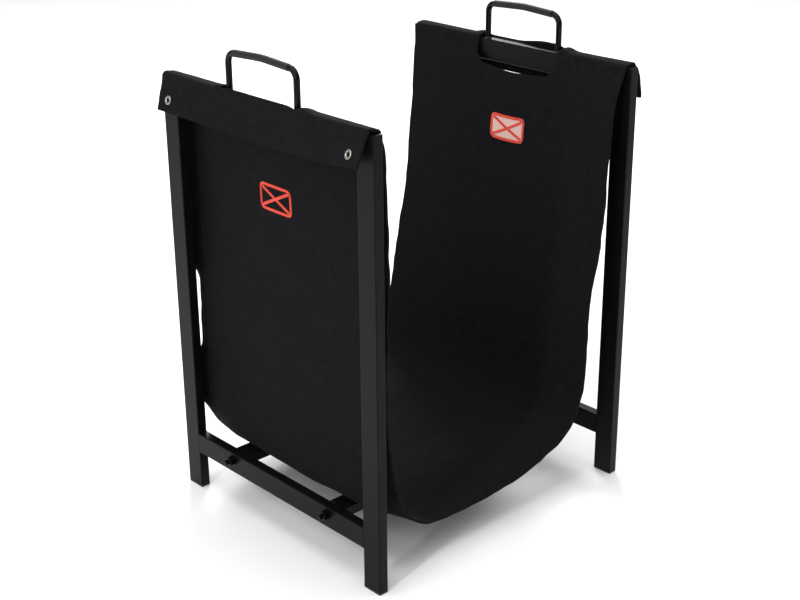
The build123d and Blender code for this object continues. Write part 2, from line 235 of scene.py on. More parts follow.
def needle_felt():
    material, tree = blank_material("needle_punched_felt_charcoal")
    place = add(tree, "ShaderNodeTexCoord").outputs["Object"]
    fuzz = add(tree, "ShaderNodeTexNoise", Vector=place, Scale=per_mm(FIBRE_DRAWN), Detail=4.0,
               Roughness=0.7)
    mottle = add(tree, "ShaderNodeTexNoise", Vector=place, Scale=per_mm(MOTTLE), Detail=3.0)
    swirl = add(tree, "ShaderNodeVectorMath", {"operation": "MULTIPLY_ADD"},
                _0=mottle.outputs["Color"], _1=SWIRL, _2=place)
    strand = add(tree, "ShaderNodeTexWave", {"bands_direction": "DIAGONAL"},
                 Vector=swirl.outputs["Vector"], Scale=per_mm(LOOSE_FIBRE) / BANDS_PER_SCALE,
                 Distortion=9.0, Detail=3.0, Detail_Scale=2.0)
    height = add(tree, "ShaderNodeMix", Factor=0.35, _2=fuzz.outputs["Fac"], _3=strand.outputs["Fac"])
    bump = add(tree, "ShaderNodeBump", Height=height.outputs["Result"], Strength=0.55, Distance=0.0005)
    shade = add(tree, "ShaderNodeMix", Factor=0.5, _2=fuzz.outputs["Fac"], _3=mottle.outputs["Fac"])
    spread = add(tree, "ShaderNodeMapRange", Value=shade.outputs["Result"], From_Min=0.3, From_Max=0.7)
    tint = add(tree, "ShaderNodeMix", {"data_type": "RGBA"}, Factor=spread.outputs["Result"],
               _6=linear("0c0c0d"), _7=linear("17171a"))
    shader = add(tree, "ShaderNodeBsdfPrincipled", Base_Color=tint.outputs[2], Roughness=0.95,
                 IOR=1.45, Specular_IOR_Level=0.08, Sheen_Weight=0.07, Sheen_Roughness=0.35,
                 Sheen_Tint=linear("8c8c94"), Normal=bump.outputs["Normal"])
    finish_material(tree, shader)
    return material


felt = needle_felt()
print("felt drawn with fibres of", FIBRE_DRAWN, "mm")

# %% [markdown]
# The sling's shape: one sheet goes from the left flap over the left rail, down, across the
# crossbars, up and over the right rail. It could be draped by a simulation, but thick felt
# holds the set that its folds and weight gave it, so it is drawn as a designer would lay it:
# five sections across the sheet, each through the same named turns. A smooth curve joins the
# turns of a section, and another joins the sections from front to back. Beyond the crossbars
# the floor droops, and the walls lean in a little, more on one side than on the other.

# %% Sections of the sling, in millimetres
FELT_THICK = 3.0
HALF_FELT = FELT_THICK / 2
SLING_HALF = 165.0
RAIL_TOP = 501.0
RAIL_OUT = 195.0
CROSSBAR_TOP = 69.5
CLEARANCE = 0.35
SEAT = RAIL_TOP + CLEARANCE + HALF_FELT
HUG_OUT = RAIL_OUT + CLEARANCE + HALF_FELT
BAR_SEAT = CROSSBAR_TOP + CLEARANCE + HALF_FELT

# The crossbars' edges, from front to back.
FRONT_BAR = (-99.5, -74.5)
BACK_BAR = (67.5, 92.5)

# For each section its place from front to back, and then the felt's middle line from the
# left flap's edge to the right one's, as distances across and heights. The lifts say how far
# the felt stands off the rails' outer edges.
SECTIONS = {
    -SLING_HALF: {
        "left_flap": [(-212.0, 471.0), (-206.6, 482.5), (-200.6, 494.5)],
        "left_lift": 2.6,
        "left_wall": [(-181.0, 496.0), (-178.2, 488.0), (-175.6, 474.0), (-173.9, 442.0),
                      (-172.0, 371.0), (-173.5, 290.0), (-177.0, 200.0), (-171.5, 152.0),
                      (-164.5, 117.0), (-155.0, 88.0)],
        "floor": [(-139.0, 66.5), (-112.0, 51.5), (-64.0, 44.5), (-22.0, 44.5), (22.0, 50.5),
                  (66.0, 62.5)],
        "right_wall": [(98.5, 76.0), (117.0, 91.0), (129.5, 118.0), (134.8, 160.0),
                       (135.8, 215.0), (141.5, 255.0), (150.5, 300.0), (155.5, 350.0),
                       (159.5, 415.0), (166.5, 470.0), (172.4, 485.0), (178.5, 495.0)],
        "right_lift": 1.2,
        "right_flap": [(201.5, 496.0), (207.0, 480.0), (209.5, 463.0)],
    },
    FRONT_BAR[0]: {
        "left_flap": [(-206.0, 464.0), (-202.0, 478.0), (-198.6, 492.0)],
        "left_lift": 0.6,
        "left_wall": [(-181.1, 497.5), (-179.6, 489.0), (-177.0, 474.0), (-174.0, 442.0),
                      (-171.5, 371.0), (-170.5, 290.0), (-171.3, 200.0), (-171.4, 152.0),
                      (-172.6, 112.0), (-171.5, 84.0)],
        "floor": [(-160.5, 72.4), (-118.0, 71.6), (-64.0, 71.5), (-22.0, 71.4), (22.0, 71.6),
                  (66.0, 74.0)],
        "right_wall": [(100.0, 80.5), (120.5, 95.0), (133.0, 122.0), (138.5, 160.0),
                       (141.0, 215.0), (146.0, 255.0), (154.0, 300.0), (159.5, 350.0),
                       (165.0, 415.0), (172.2, 476.0), (176.6, 487.0), (179.9, 495.0)],
        "right_lift": 0.4,
        "right_flap": [(198.0, 494.0), (201.0, 480.0), (203.5, 464.0)],
    },
    0.0: {
        "left_flap": [(-203.5, 461.0), (-200.6, 476.0), (-198.0, 491.0)],
        "left_lift": 0.2,
        "left_wall": [(-181.1, 497.5), (-180.0, 489.0), (-177.6, 474.0), (-173.5, 442.0),
                      (-171.0, 371.0), (-169.5, 290.0), (-170.2, 200.0), (-170.5, 152.0),
                      (-172.4, 112.0), (-171.8, 84.0)],
        "floor": [(-161.0, 72.4), (-118.0, 71.7), (-64.0, 71.6), (-22.0, 71.5), (22.0, 71.8),
                  (66.0, 74.5)],
        "right_wall": [(101.0, 81.0), (122.0, 96.0), (134.5, 122.0), (140.0, 160.0),
                       (143.5, 215.0), (149.0, 255.0), (156.5, 300.0), (162.5, 350.0),
                       (168.0, 415.0), (174.0, 470.2), (177.9, 485.0), (180.6, 496.0)],
        "right_lift": 0.2,
        "right_flap": [(197.8, 494.0), (200.3, 479.0), (202.5, 462.0)],
    },
    BACK_BAR[1]: {
        "left_flap": [(-204.5, 463.0), (-201.4, 477.0), (-198.2, 491.0)],
        "left_lift": 0.4,
        "left_wall": [(-181.0, 497.5), (-179.0, 489.0), (-174.8, 474.0), (-170.0, 442.0),
                      (-167.0, 371.0), (-166.0, 290.0), (-167.5, 200.0), (-168.3, 152.0),
                      (-170.8, 112.0), (-170.6, 84.0)],
        "floor": [(-160.0, 72.4), (-118.0, 71.6), (-64.0, 71.5), (-22.0, 71.4), (22.0, 71.6),
                  (66.0, 74.0)],
        "right_wall": [(100.5, 80.5), (121.5, 95.0), (133.5, 122.0), (138.5, 160.0),
                       (143.0, 215.0), (150.0, 255.0), (158.0, 300.0), (164.0, 350.0),
                       (170.0, 415.0), (176.6, 478.0), (179.0, 488.0), (180.7, 496.0)],
        "right_lift": 0.3,
        "right_flap": [(198.0, 494.0), (201.0, 480.0), (203.0, 463.0)],
    },
    SLING_HALF: {
        "left_flap": [(-206.5, 464.5), (-203.6, 476.0), (-199.4, 491.0)],
        "left_lift": 1.4,
        "left_wall": [(-179.6, 496.0), (-175.5, 487.0), (-168.5, 471.0), (-163.0, 438.0),
                      (-162.3, 371.0), (-165.5, 290.0), (-165.8, 210.0), (-168.5, 152.0),
                      (-168.0, 106.0), (-157.0, 80.0)],
        "floor": [(-142.0, 58.0), (-118.0, 35.5), (-70.0, 33.5), (-24.0, 38.0), (22.0, 47.0),
                  (66.0, 61.0)],
        "right_wall": [(97.0, 76.0), (116.0, 92.0), (128.0, 124.0), (134.0, 162.0),
                       (142.5, 215.0), (152.0, 255.0), (161.0, 300.0), (167.5, 350.0),
                       (173.5, 415.0), (178.0, 466.0), (180.4, 486.0), (181.0, 496.0)],
        "right_lift": 0.6,
        "right_flap": [(198.4, 494.0), (203.0, 480.0), (206.0, 466.0)],
    },
}
STATION_Y = sorted(SECTIONS)
print(len(STATION_Y), "sections at", STATION_Y)

# %% [markdown]
# A section's list of turns becomes one line of points. Over each rail the felt hugs the
# tube's rounded corners, so those points are the same in every section, but for a small lift
# where the stiff felt stands off the outer edge. The slot for the handle runs from the tube's
# outer top edge to under its inner side: from the second point over the rail to the third
# point of the wall. Those points, counted from either end of the line, part it into spans.

# %% Join the turns of one section
# Distance across, height and share of the lift, from the rail's outer side to its inner one.
SADDLE = [(HUG_OUT, 500.2, 0.5), (195.2, 502.4, 1.0), (193.4, SEAT, 1.0),
          (188.6, SEAT, 0.3), (184.6, SEAT, 0.0), (182.0, 502.0, 0.0)]


def saddle(side, lift):
    """Points over one rail. The side is -1 for the left one and 1 for the right one."""
    return [(side * across, height + share * lift) for across, height, share in SADDLE]


def section_points(section):
    """The section's points from left to right, and the places in them of the spans' ends."""
    left = section["left_flap"] + saddle(-1, section["left_lift"])
    right = list(reversed(saddle(1, section["right_lift"]))) + section["right_flap"]
    points = left + section["left_wall"] + section["floor"] + section["right_wall"] + right
    slot_top = len(section["left_flap"]) + 1
    slot_low = len(left) + 2
    last = len(points) - 1
    return [Vector(p) for p in points], [0, slot_top, slot_low, last - slot_low, last - slot_top, last]


def cubic_weights(t):
    """How much of its start, leaving tangent, end and arriving tangent a cubic holds at t."""
    return 2 * t**3 - 3 * t**2 + 1, t**3 - 2 * t**2 + t, 3 * t**2 - 2 * t**3, t**3 - t**2


def spline(values, at):
    """A smooth value between keyed ones, a sorted list of (place, value), with no overshoot."""
    keys = [k for k, _ in values]
    slopes = [(b[1] - a[1]) / (b[0] - a[0]) for a, b in zip(values, values[1:])]
    tangents = [slopes[0]]
    for a, b in zip(slopes, slopes[1:]):
        tangents.append(2 * a * b / (a + b) if a * b > 0 else 0.0)
    tangents.append(slopes[-1])
    i = max(0, min(len(keys) - 2, sum(k <= at for k in keys) - 1))
    run = keys[i + 1] - keys[i]
    start, leaving, end, arriving = cubic_weights((at - keys[i]) / run)
    return (values[i][1] * start + tangents[i] * run * leaving
            + values[i + 1][1] * end + tangents[i + 1] * run * arriving)


LAID = {y: section_points(SECTIONS[y]) for y in STATION_Y}
MARKS = LAID[0.0][1]
POINT_COUNT = len(LAID[0.0][0])
print(POINT_COUNT, "points a section, spans end at", MARKS)

# %% [markdown]
# The sheet's mesh is a grid whose rows run along the section and whose columns run from hem
# to hem. A grid line lies on every edge of the slots, so they can be cut by leaving faces
# out, with their corners cut off across the squares. Between those lines the steps are as
# even as they can be, about 3 mm. A section's spans are the left flap, the left slot, the
# walls with the floor between them, the right slot and the right flap.

# %% The grid's rows and columns
GRID = 3.0
SLOT_HALF = 62.0
SLOT_CENTRES = {"left": 1.5, "right": -5.0}
SPAN_ROWS = (14, 14, 326, 14, 14)
SLOT_CORNER_STEPS = 3


def even_steps(stops):
    """Places from the first stop to the last, a whole number of steps between two stops."""
    places = [stops[0]]
    for low, high in zip(stops, stops[1:]):
        count = max(1, round((high - low) / GRID))
        places += [low + (high - low) * (i + 1) / count for i in range(count)]
    return places


slot_ends = [c + s * SLOT_HALF for c in SLOT_CENTRES.values() for s in (-1, 1)]
COLUMNS = even_steps(sorted([-SLING_HALF, SLING_HALF, FRONT_BAR[0], BACK_BAR[1], *slot_ends]))
ROW_TOTAL = sum(SPAN_ROWS) + 1
print(ROW_TOTAL, "rows and", len(COLUMNS), "columns")

# %% [markdown]
# Each column is one section, blended from the five drawn ones, then walked at even steps so
# the cloth isn't stretched. Where the floor droops past a crossbar the sheet keeps its
# length, so the hem draws in a little. From one crossbar to the other the felt is laid no
# lower than their tops.

# %% Lay the middle surface
WALKING_STEP = 0.8
DEEPEST_DROOP = 40.0
DROOPS_BELOW = 120.0


def walk(points, marks):
    """Rows of points along one column, evenly spaced inside each span."""
    dense = []
    ends = {}
    for i in range(len(points) - 1):
        p0 = points[max(i - 1, 0)]
        p1, p2 = points[i], points[i + 1]
        p3 = points[min(i + 2, len(points) - 1)]
        if i in marks:
            ends[i] = len(dense)
        run = (p2 - p1).length
        into = (p2 - p0).normalized() * run
        out = (p3 - p1).normalized() * run
        count = max(2, int(run / WALKING_STEP))
        for k in range(count):
            start, leaving, end, arriving = cubic_weights(k / count)
            dense.append(p1 * start + into * leaving + p2 * end + out * arriving)
    dense.append(points[-1])
    ends[len(points) - 1] = len(dense) - 1
    reach = [0.0]
    for a, b in zip(dense, dense[1:]):
        reach.append(reach[-1] + (b - a).length)
    rows = []
    cursor = 0
    for span, count in enumerate(SPAN_ROWS):
        low, high = reach[ends[marks[span]]], reach[ends[marks[span + 1]]]
        for step in range(count + (span == len(SPAN_ROWS) - 1)):
            goal = low + (high - low) * step / count
            while cursor < len(reach) - 2 and reach[cursor + 1] < goal:
                cursor += 1
            share = (goal - reach[cursor]) / max(reach[cursor + 1] - reach[cursor], 1e-9)
            rows.append(dense[cursor].lerp(dense[cursor + 1], share))
    return rows


def drawn_in(y, drop):
    """Where a point of the sheet lies from front to back, once its edge has drooped."""
    edge = FRONT_BAR[0] if y < 0 else BACK_BAR[1]
    past = abs(y) - abs(edge)
    if past <= 0 or drop <= 0:
        return y
    return math.copysign(abs(edge) + math.sqrt(max(past**2 - drop**2, 0.0)), y)


def section_at(y):
    """The blended section at any place from front to back."""
    return [
        Vector([spline([(s, LAID[s][0][i][axis]) for s in STATION_Y], y) for axis in (0, 1)])
        for i in range(POINT_COUNT)
    ]


columns = [walk(section_at(y), MARKS) for y in COLUMNS]
front_edge = columns[COLUMNS.index(FRONT_BAR[0])]
back_edge = columns[COLUMNS.index(BACK_BAR[1])]
middle = []
for y, rows in zip(COLUMNS, columns):
    lowest = BAR_SEAT if FRONT_BAR[0] <= y <= BACK_BAR[1] else 0.0
    line = []
    for p, at_edge in zip(rows, front_edge if y < 0 else back_edge):
        drop = min(at_edge.y - p.y, DEEPEST_DROOP) if p.y < DROOPS_BELOW else 0.0
        line.append(Vector((p.x, drawn_in(y, drop), max(p.y, lowest))))
    middle.append(line)

# %% [markdown]
# Now the small forms. Felt that was folded in a box keeps faint waves, so slow noise, tens of
# millimetres long, gives the walls theirs, and the hems have shorter ones. The waves fade out
# where the felt is pressed on a rail or a crossbar.

# %% Noise for the waves
WAVE_HEIGHT = 0.9
WAVE_LENGTH = 70.0
FINER = 2.7
FINER_SHARE = 0.35
FINER_SHIFT = Vector((7, 3, 1))
HELD_ON_RAIL = 18.0
FLAP_HELD_ABOVE = 492.0
BAR_CENTRES = [sum(bar) / 2 for bar in (FRONT_BAR, BACK_BAR)]


def smooth(low, high, value):
    """0 below low, 1 above high, and a soft step between."""
    t = max(0.0, min(1.0, (value - low) / (high - low)))
    return t * t * (3 - 2 * t)


def normal_at(grid, row, column):
    """The sheet's direction outwards and down, away from the logs, at a grid point."""
    up = grid[column][min(row + 1, ROW_TOTAL - 1)] - grid[column][max(row - 1, 0)]
    along = grid[min(column + 1, len(grid) - 1)][row] - grid[max(column - 1, 0)][row]
    return up.cross(along).normalized()


def freedom(p):
    """How far a point is free to wave: 0 on the rails and crossbars, 1 away from them."""
    if abs(p.x) < HUG_OUT:
        off_rail = smooth(0.0, 45.0, RAIL_TOP - HELD_ON_RAIL - p.z)
    else:
        off_rail = smooth(0.0, 25.0, FLAP_HELD_ABOVE - p.z)
    from_bar = min(abs(p.y - centre) for centre in BAR_CENTRES)
    off_bar = max(smooth(14.0, 40.0, from_bar), smooth(80.0, 130.0, p.z))
    return off_rail * off_bar


def wave_at(p):
    """The height of the walls' wave at a point."""
    place = p / WAVE_LENGTH
    finer = FINER_SHARE * noise.noise(place * FINER + FINER_SHIFT)
    return WAVE_HEIGHT * (noise.noise(place) + finer)


print("the waves are", WAVE_HEIGHT, "mm high and", WAVE_LENGTH, "mm long")

# %% [markdown]
# Each point now moves: by the wave, by the hem's own shorter lobes, and by a small sag where
# the floor isn't carried, between the crossbars. On the left wall the back hem curls out
# against the leg, but for one stretch that stays open and shows as a slit.

# %% Wave the sheet
HEM_REACH = 22.0
HEM_WAVE = 1.7
HEM_LOBE = 26.0
HEM_LOBE_IN = 60.0
HEM_SEED = 4.0
HEM_WANDER = 1.1
WANDER_FINER = 1.9
BAY_SAG = 2.0
SAG_RAMP = 32.0
BACK_CURL = 9.0
CURL_FROM = 146.0
CURL_BELOW = 500.0
OPEN_LOW = 180.0
OPEN_HIGH = 255.0
ROW_MARKS = [sum(SPAN_ROWS[:i]) for i in range(len(SPAN_ROWS) + 1)]

waved = []
for c, rows in enumerate(middle):
    y = COLUMNS[c]
    hem = smooth(SLING_HALF - HEM_REACH, SLING_HALF, abs(y))
    line = []
    for r, p in enumerate(rows):
        lobe = Vector((r * GRID / HEM_LOBE, y / HEM_LOBE_IN, HEM_SEED))
        wave = wave_at(p) + hem * HEM_WAVE * noise.noise(lobe)
        point = p + normal_at(middle, r, c) * (wave * freedom(p))
        point.y += hem**3 * HEM_WANDER * noise.noise(lobe * WANDER_FINER)
        between_bars = smooth(0.0, SAG_RAMP, min(p.y - FRONT_BAR[1], BACK_BAR[0] - p.y))
        point.z -= BAY_SAG * between_bars * (1 - smooth(76.0, 125.0, p.z))
        on_left_wall = ROW_MARKS[2] < r < ROW_TOTAL // 2
        if on_left_wall and y > 0:
            off_floor = smooth(90.0, 120.0, p.z)
            off_rail = smooth(0.0, 40.0, CURL_BELOW - p.z)
            curl = smooth(CURL_FROM, SLING_HALF, y) * off_floor * off_rail
            above_slit = smooth(OPEN_HIGH, OPEN_HIGH + 30.0, p.z)
            beside_slit = above_slit + 1 - smooth(OPEN_LOW - 25.0, OPEN_LOW, p.z)
            point.x -= BACK_CURL * curl * beside_slit
        line.append(point)
    waved.append(line)
print("waved", len(waved) * ROW_TOTAL, "points")

# %% [markdown]
# Beside each end of a slot the stiff felt stands up in a small pucker over the rail. In the
# slot the flap's cut edge stands a little proud of the rail, on the right in the front part
# only. Both fade away over a few rows.

# %% Puckers and lips at the slots
PUCKER = 3.0
PUCKER_REACH = 8.0
PUCKER_PAST_END = 5.0
LIP = {"left": 3.8, "right": 4.6}
LIP_RAMP = 14.0
LIP_BEFORE = {"left": 120.0, "right": 10.0}
LIP_FADE = 45.0
MOST_ROWS = 14
ROWS_ON_RAIL = 4.0
ROWS_ON_FLAP = 3.0

for c, y in enumerate(COLUMNS):
    for side, inwards, top_row in (("left", 1, ROW_MARKS[1]), ("right", -1, ROW_MARKS[4])):
        past = abs(y - SLOT_CENTRES[side]) - SLOT_HALF
        pucker = PUCKER * math.exp(-((past - PUCKER_PAST_END) / PUCKER_REACH) ** 2)
        lip = LIP[side] * smooth(0.0, LIP_RAMP, -past) * smooth(0.0, LIP_FADE, LIP_BEFORE[side] - y)
        for r in range(top_row - MOST_ROWS, top_row + MOST_ROWS + 1):
            from_top = (r - top_row) * inwards
            reach = ROWS_ON_RAIL if from_top >= 0 else ROWS_ON_FLAP
            rise = pucker + lip if from_top <= 0 else pucker
            waved[c][r].z += rise * math.exp(-(from_top / reach) ** 2)
print("puckers and lips at", 2 * len(SLOT_CENTRES), "slot ends")

# %% [markdown]
# Faces join the grid's points, except inside the slots. A square that a slot's cut-off corner
# crosses becomes a triangle. The Solidify modifier then gives the sheet its 3 mm, half to
# each side of the middle surface, and a narrow bevel softens the cut edges, which fray a
# little on real felt. Both are applied, so that the mesh itself is the cloth that is shown.

# %% Build the felt sheet
EDGE_SOFTENING = 0.45
SHARPER_THAN = math.radians(55)


def slot_sides(row, column):
    """-1 outside both slots, 0 on a slot's edge and 1 inside it."""
    for side, top, low in (("left", ROW_MARKS[1], ROW_MARKS[2]), ("right", ROW_MARKS[4], ROW_MARKS[3])):
        first = COLUMNS.index(SLOT_CENTRES[side] - SLOT_HALF)
        last = COLUMNS.index(SLOT_CENTRES[side] + SLOT_HALF)
        if not (min(top, low) <= row <= max(top, low) and first <= column <= last):
            continue
        corner = abs(low - row) + min(column - first, last - column) - SLOT_CORNER_STEPS
        if corner < 0:
            continue
        return 0 if row in (top, low) or column in (first, last) or corner == 0 else 1
    return -1


def sheet_faces():
    """The grid's faces, with the slots left out."""
    faces = []
    for c in range(len(COLUMNS) - 1):
        for r in range(ROW_TOTAL - 1):
            corners = [(r, c), (r + 1, c), (r + 1, c + 1), (r, c + 1)]
            sides = [slot_sides(*corner) for corner in corners]
            if min(sides) >= 0:
                continue
            if max(sides) > 0:
                corners = [corner for corner, side in zip(corners, sides) if side <= 0]
            faces.append([column * ROW_TOTAL + row for row, column in corners])
    return faces


def new_object(name, vertices, faces, material):
    """A smooth-shaded mesh object in the scene."""
    mesh = bpy.data.meshes.new(name)
    mesh.from_pydata([v * MM for v in vertices], [], faces)
    mesh.validate()
    mesh.shade_smooth()
    mesh.materials.append(material)
    piece = bpy.data.objects.new(name, mesh)
    bpy.context.scene.collection.objects.link(piece)
    return piece


def apply_modifiers(piece):
    """Replaces the piece's mesh with what its modifiers make of it."""
    shaped = piece.evaluated_get(bpy.context.evaluated_depsgraph_get())
    mesh = bpy.data.meshes.new_from_object(shaped)
    piece.modifiers.clear()
    piece.data = mesh


sling = new_object("felt_sling", [p for line in waved for p in line], sheet_faces(), felt)
cleaner = bmesh.new()
cleaner.from_mesh(sling.data)
bmesh.ops.delete(cleaner, geom=[v for v in cleaner.verts if not v.link_faces], context="VERTS")
flat_area = sum(face.calc_area() for face in cleaner.faces)
cleaner.to_mesh(sling.data)
cleaner.free()
thick = sling.modifiers.new("thickness", "SOLIDIFY")
thick.thickness = FELT_THICK * MM
thick.offset = 0.0
thick.use_even_offset = True
soften = sling.modifiers.new("softened_edges", "BEVEL")
soften.width = EDGE_SOFTENING * MM
soften.segments = 2
soften.limit_method = "ANGLE"
soften.angle_limit = SHARPER_THAN
apply_modifiers(sling)
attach(sling, "sling")
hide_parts("sling")
print("felt sheet:", len(sling.data.polygons), "faces,", round(flat_area, 4), "square metres")

# %% [markdown]
# Four eyelets keep the flaps' corners from tearing. A real one is turned and rolled from thin
# nickel-plated brass: a half-round rim outside, a short barrel through the felt, and a ring
# curled over behind. Spinning one small profile about the barrel's axis gives all of that.
# Each sits on the felt as it was just laid, square to it, and replaces the plainer CAD ring.
# The felt isn't cut through under it, so the hole shows dark felt.

# %% Eyelets
EYELET_TURNS = 48
EYELET_HOLE = 2.3
EYELET_RIM = 4.6
CROWN_HALF = 1.45
CROWN_RISE = 0.95
CROWN_STEPS = 8
ROWS_FROM_FLAP_EDGE = 4.6
COLUMNS_FROM_HEM = 5.6


def felt_spot(row, column):
    """The middle surface's point between grid points, and the nearest one's normal."""
    r, c = int(row), int(column)
    fr, fc = row - r, column - c
    low = waved[c][r].lerp(waved[c][r + 1], fr)
    high = waved[c + 1][r].lerp(waved[c + 1][r + 1], fr)
    return low.lerp(high, fc), normal_at(waved, round(row), round(column))


def eyelet_profile():
    """Radius and height of the turned profile, whose crown overhangs the rim on the felt."""
    crown = []
    for k in range(CROWN_STEPS):
        a = math.pi * k / CROWN_STEPS
        radius = EYELET_HOLE + CROWN_HALF - CROWN_HALF * math.cos(a)
        crown.append((radius, HALF_FELT + CROWN_RISE * math.sin(a)))
    rim = [(EYELET_RIM, HALF_FELT + 0.1), (EYELET_RIM - 0.15, HALF_FELT - 0.12)]
    barrel = [(EYELET_HOLE + 0.4, HALF_FELT - 0.12), (EYELET_HOLE + 0.4, -HALF_FELT)]
    curl = [(EYELET_RIM - 0.5, -HALF_FELT - 0.05), (EYELET_RIM - 0.6, -HALF_FELT - 0.35),
            (EYELET_HOLE + 0.9, -HALF_FELT - 0.8), (EYELET_HOLE, -HALF_FELT - 0.45)]
    return crown + rim + barrel + curl


def turned_ring(centre, axis):
    """The profile spun about an axis: vertices and faces."""
    profile = eyelet_profile()
    turn = axis.to_track_quat("Z", "Y")
    vertices = []
    for k in range(EYELET_TURNS):
        angle = 2 * math.pi * k / EYELET_TURNS
        for radius, height in profile:
            local = Vector((radius * math.cos(angle), radius * math.sin(angle), height))
            vertices.append(centre + turn @ local)
    n = len(profile)
    faces = []
    for k in range(EYELET_TURNS):
        for j in range(n):
            a, b = k * n + j, k * n + (j + 1) % n
            c, d = (k + 1) % EYELET_TURNS * n + (j + 1) % n, (k + 1) % EYELET_TURNS * n + j
            faces.append((a, d, c, b))
    return vertices, faces


eyelet_rows = [ROWS_FROM_FLAP_EDGE, ROW_TOTAL - 1 - ROWS_FROM_FLAP_EDGE]
eyelet_columns = [COLUMNS_FROM_HEM, len(COLUMNS) - 1 - COLUMNS_FROM_HEM]
ring_vertices = []
ring_faces = []
for row in eyelet_rows:
    for column in eyelet_columns:
        centre, outwards = felt_spot(row, column)
        if outwards.x * centre.x < 0:
            outwards = -outwards
        vertices, faces = turned_ring(centre, outwards)
        ring_faces += [[i + len(ring_vertices) for i in face] for face in faces]
        ring_vertices += vertices
        print("eyelet at", [round(v, 1) for v in centre])
nickel = plated_metal("nickel_plated_brass", "8d8b86", "bdbbb5", (0.2, 0.34), 4)
eyelets = new_object("eyelet_rings", ring_vertices, ring_faces, nickel)
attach(eyelets, "sling")
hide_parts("eyelets")

# %% [markdown]
# Both walls carry a small sewn place. Here it is the plainest one there is, the box and cross
# that a sewing machine makes to reinforce cloth: satin stitches side by side round a
# rectangle and along its diagonals. Each stitch is one thread, a thin capsule laid across the
# line. On the left it is red thread straight on the felt. On the right the same stitching
# holds a pale patch. Thread is 0.4 mm thick in reality, and is drawn at 0.8 mm to show. It is
# twisted rayon, silky but not glossy, and its red drifts a little along each stitch.

# %% Thread and the places to sew
BOX_WIDTH = 50.0
BOX_HEIGHT = 27.0
BOX_CORNER = 5.0
SEWN_AT = {"left": (8.6, 392.0), "right": (-5.9, 406.0)}


def rayon_thread(name, dark, light):
    material, tree = blank_material(name)
    place = add(tree, "ShaderNodeTexCoord").outputs["Object"]
    shift = add(tree, "ShaderNodeTexNoise", Vector=place, Scale=per_mm(1.6), Detail=2.0)
    tint = add(tree, "ShaderNodeMix", {"data_type": "RGBA"}, Factor=shift.outputs["Fac"],
               _6=linear(dark), _7=linear(light))
    shader = add(tree, "ShaderNodeBsdfPrincipled", Base_Color=tint.outputs[2], Roughness=0.42,
                 IOR=1.53, Sheen_Weight=0.1, Sheen_Roughness=0.4, Sheen_Tint=linear("ffb0a0"))
    finish_material(tree, shader)
    return material


def nearest_on_wall(side, y, z):
    """The row and column of the wall's grid point nearest to a place and height."""
    column = min(range(len(COLUMNS)), key=lambda c: abs(COLUMNS[c] - y))
    half_way = ROW_TOTAL // 2
    wall = range(ROW_MARKS[2], half_way) if side == "left" else range(half_way, ROW_MARKS[3])
    row = min(wall, key=lambda r: abs(waved[column][r].z - z))
    return row, column


def wall_frame(side):
    """A function from millimetres across and up on one wall to a point and normal there.
    The normal is towards -X, as both sewn places face the camera's side."""
    y0, z0 = SEWN_AT[side]
    row0, column0 = nearest_on_wall(side, y0, z0)
    step = (waved[column0][row0 + 1] - waved[column0][row0]).length
    upwards = -1 if side == "left" else 1

    def spot(across, up):
        column = column0 + (across + y0 - COLUMNS[column0]) / GRID
        point, normal = felt_spot(row0 + upwards * up / step, column)
        if normal.x > 0:
            normal = -normal
        return point, normal

    return spot


red_thread = rayon_thread("rayon_thread_red", "c42a1a", "f04a30")
print("sewn at grid points", [nearest_on_wall(side, *SEWN_AT[side]) for side in SEWN_AT])

# %% [markdown]
# The stitches' places come from walking the box's outline and then both diagonals at an even
# pitch. Each thread is six rings of six points, narrow at its tips and bowed up in the middle,
# and the lengths differ a little, as they do from a real machine.

# %% Satin stitches
STITCH_PITCH = 0.85
STITCH_LENGTH = 3.4
STITCH_UNEVEN = 0.08
UNEVEN_TURN = 2.4
STITCH_BOW = 0.25
STITCH_CLEAR = 0.05
THREAD = 0.8
THREAD_TIP = 0.45
THREAD_RINGS = (-1.0, -0.8, -0.3, 0.3, 0.8, 1.0)
THREAD_SIDES = 6
CORNER_DEGREES = 15


def box_and_cross():
    """Places and directions of the stitches, in millimetres from the box's middle."""
    w, h, r = BOX_WIDTH / 2, BOX_HEIGHT / 2, BOX_CORNER
    corners = ((w - r, h - r, 0), (r - w, h - r, 90), (r - w, r - h, 180), (w - r, r - h, 270))
    path = []
    for cx, cy, start in corners:
        for degrees in range(start, start + 91, CORNER_DEGREES):
            a = math.radians(degrees)
            path.append(Vector((cx + r * math.cos(a), cy + r * math.sin(a))))
    runs = [path + path[:1]]
    x, y = w - STITCH_LENGTH, h - STITCH_LENGTH
    runs += [[Vector((-x, s * y)), Vector((x, -s * y))] for s in (-1, 1)]
    stitches = []
    for run in runs:
        left_over = 0.0
        for a, b in zip(run, run[1:]):
            length = (b - a).length
            along = (b - a) / length
            at = left_over
            while at < length:
                stitches.append((a + along * at, Vector((-along.y, along.x))))
                at += STITCH_PITCH
            left_over = at - length
    return stitches


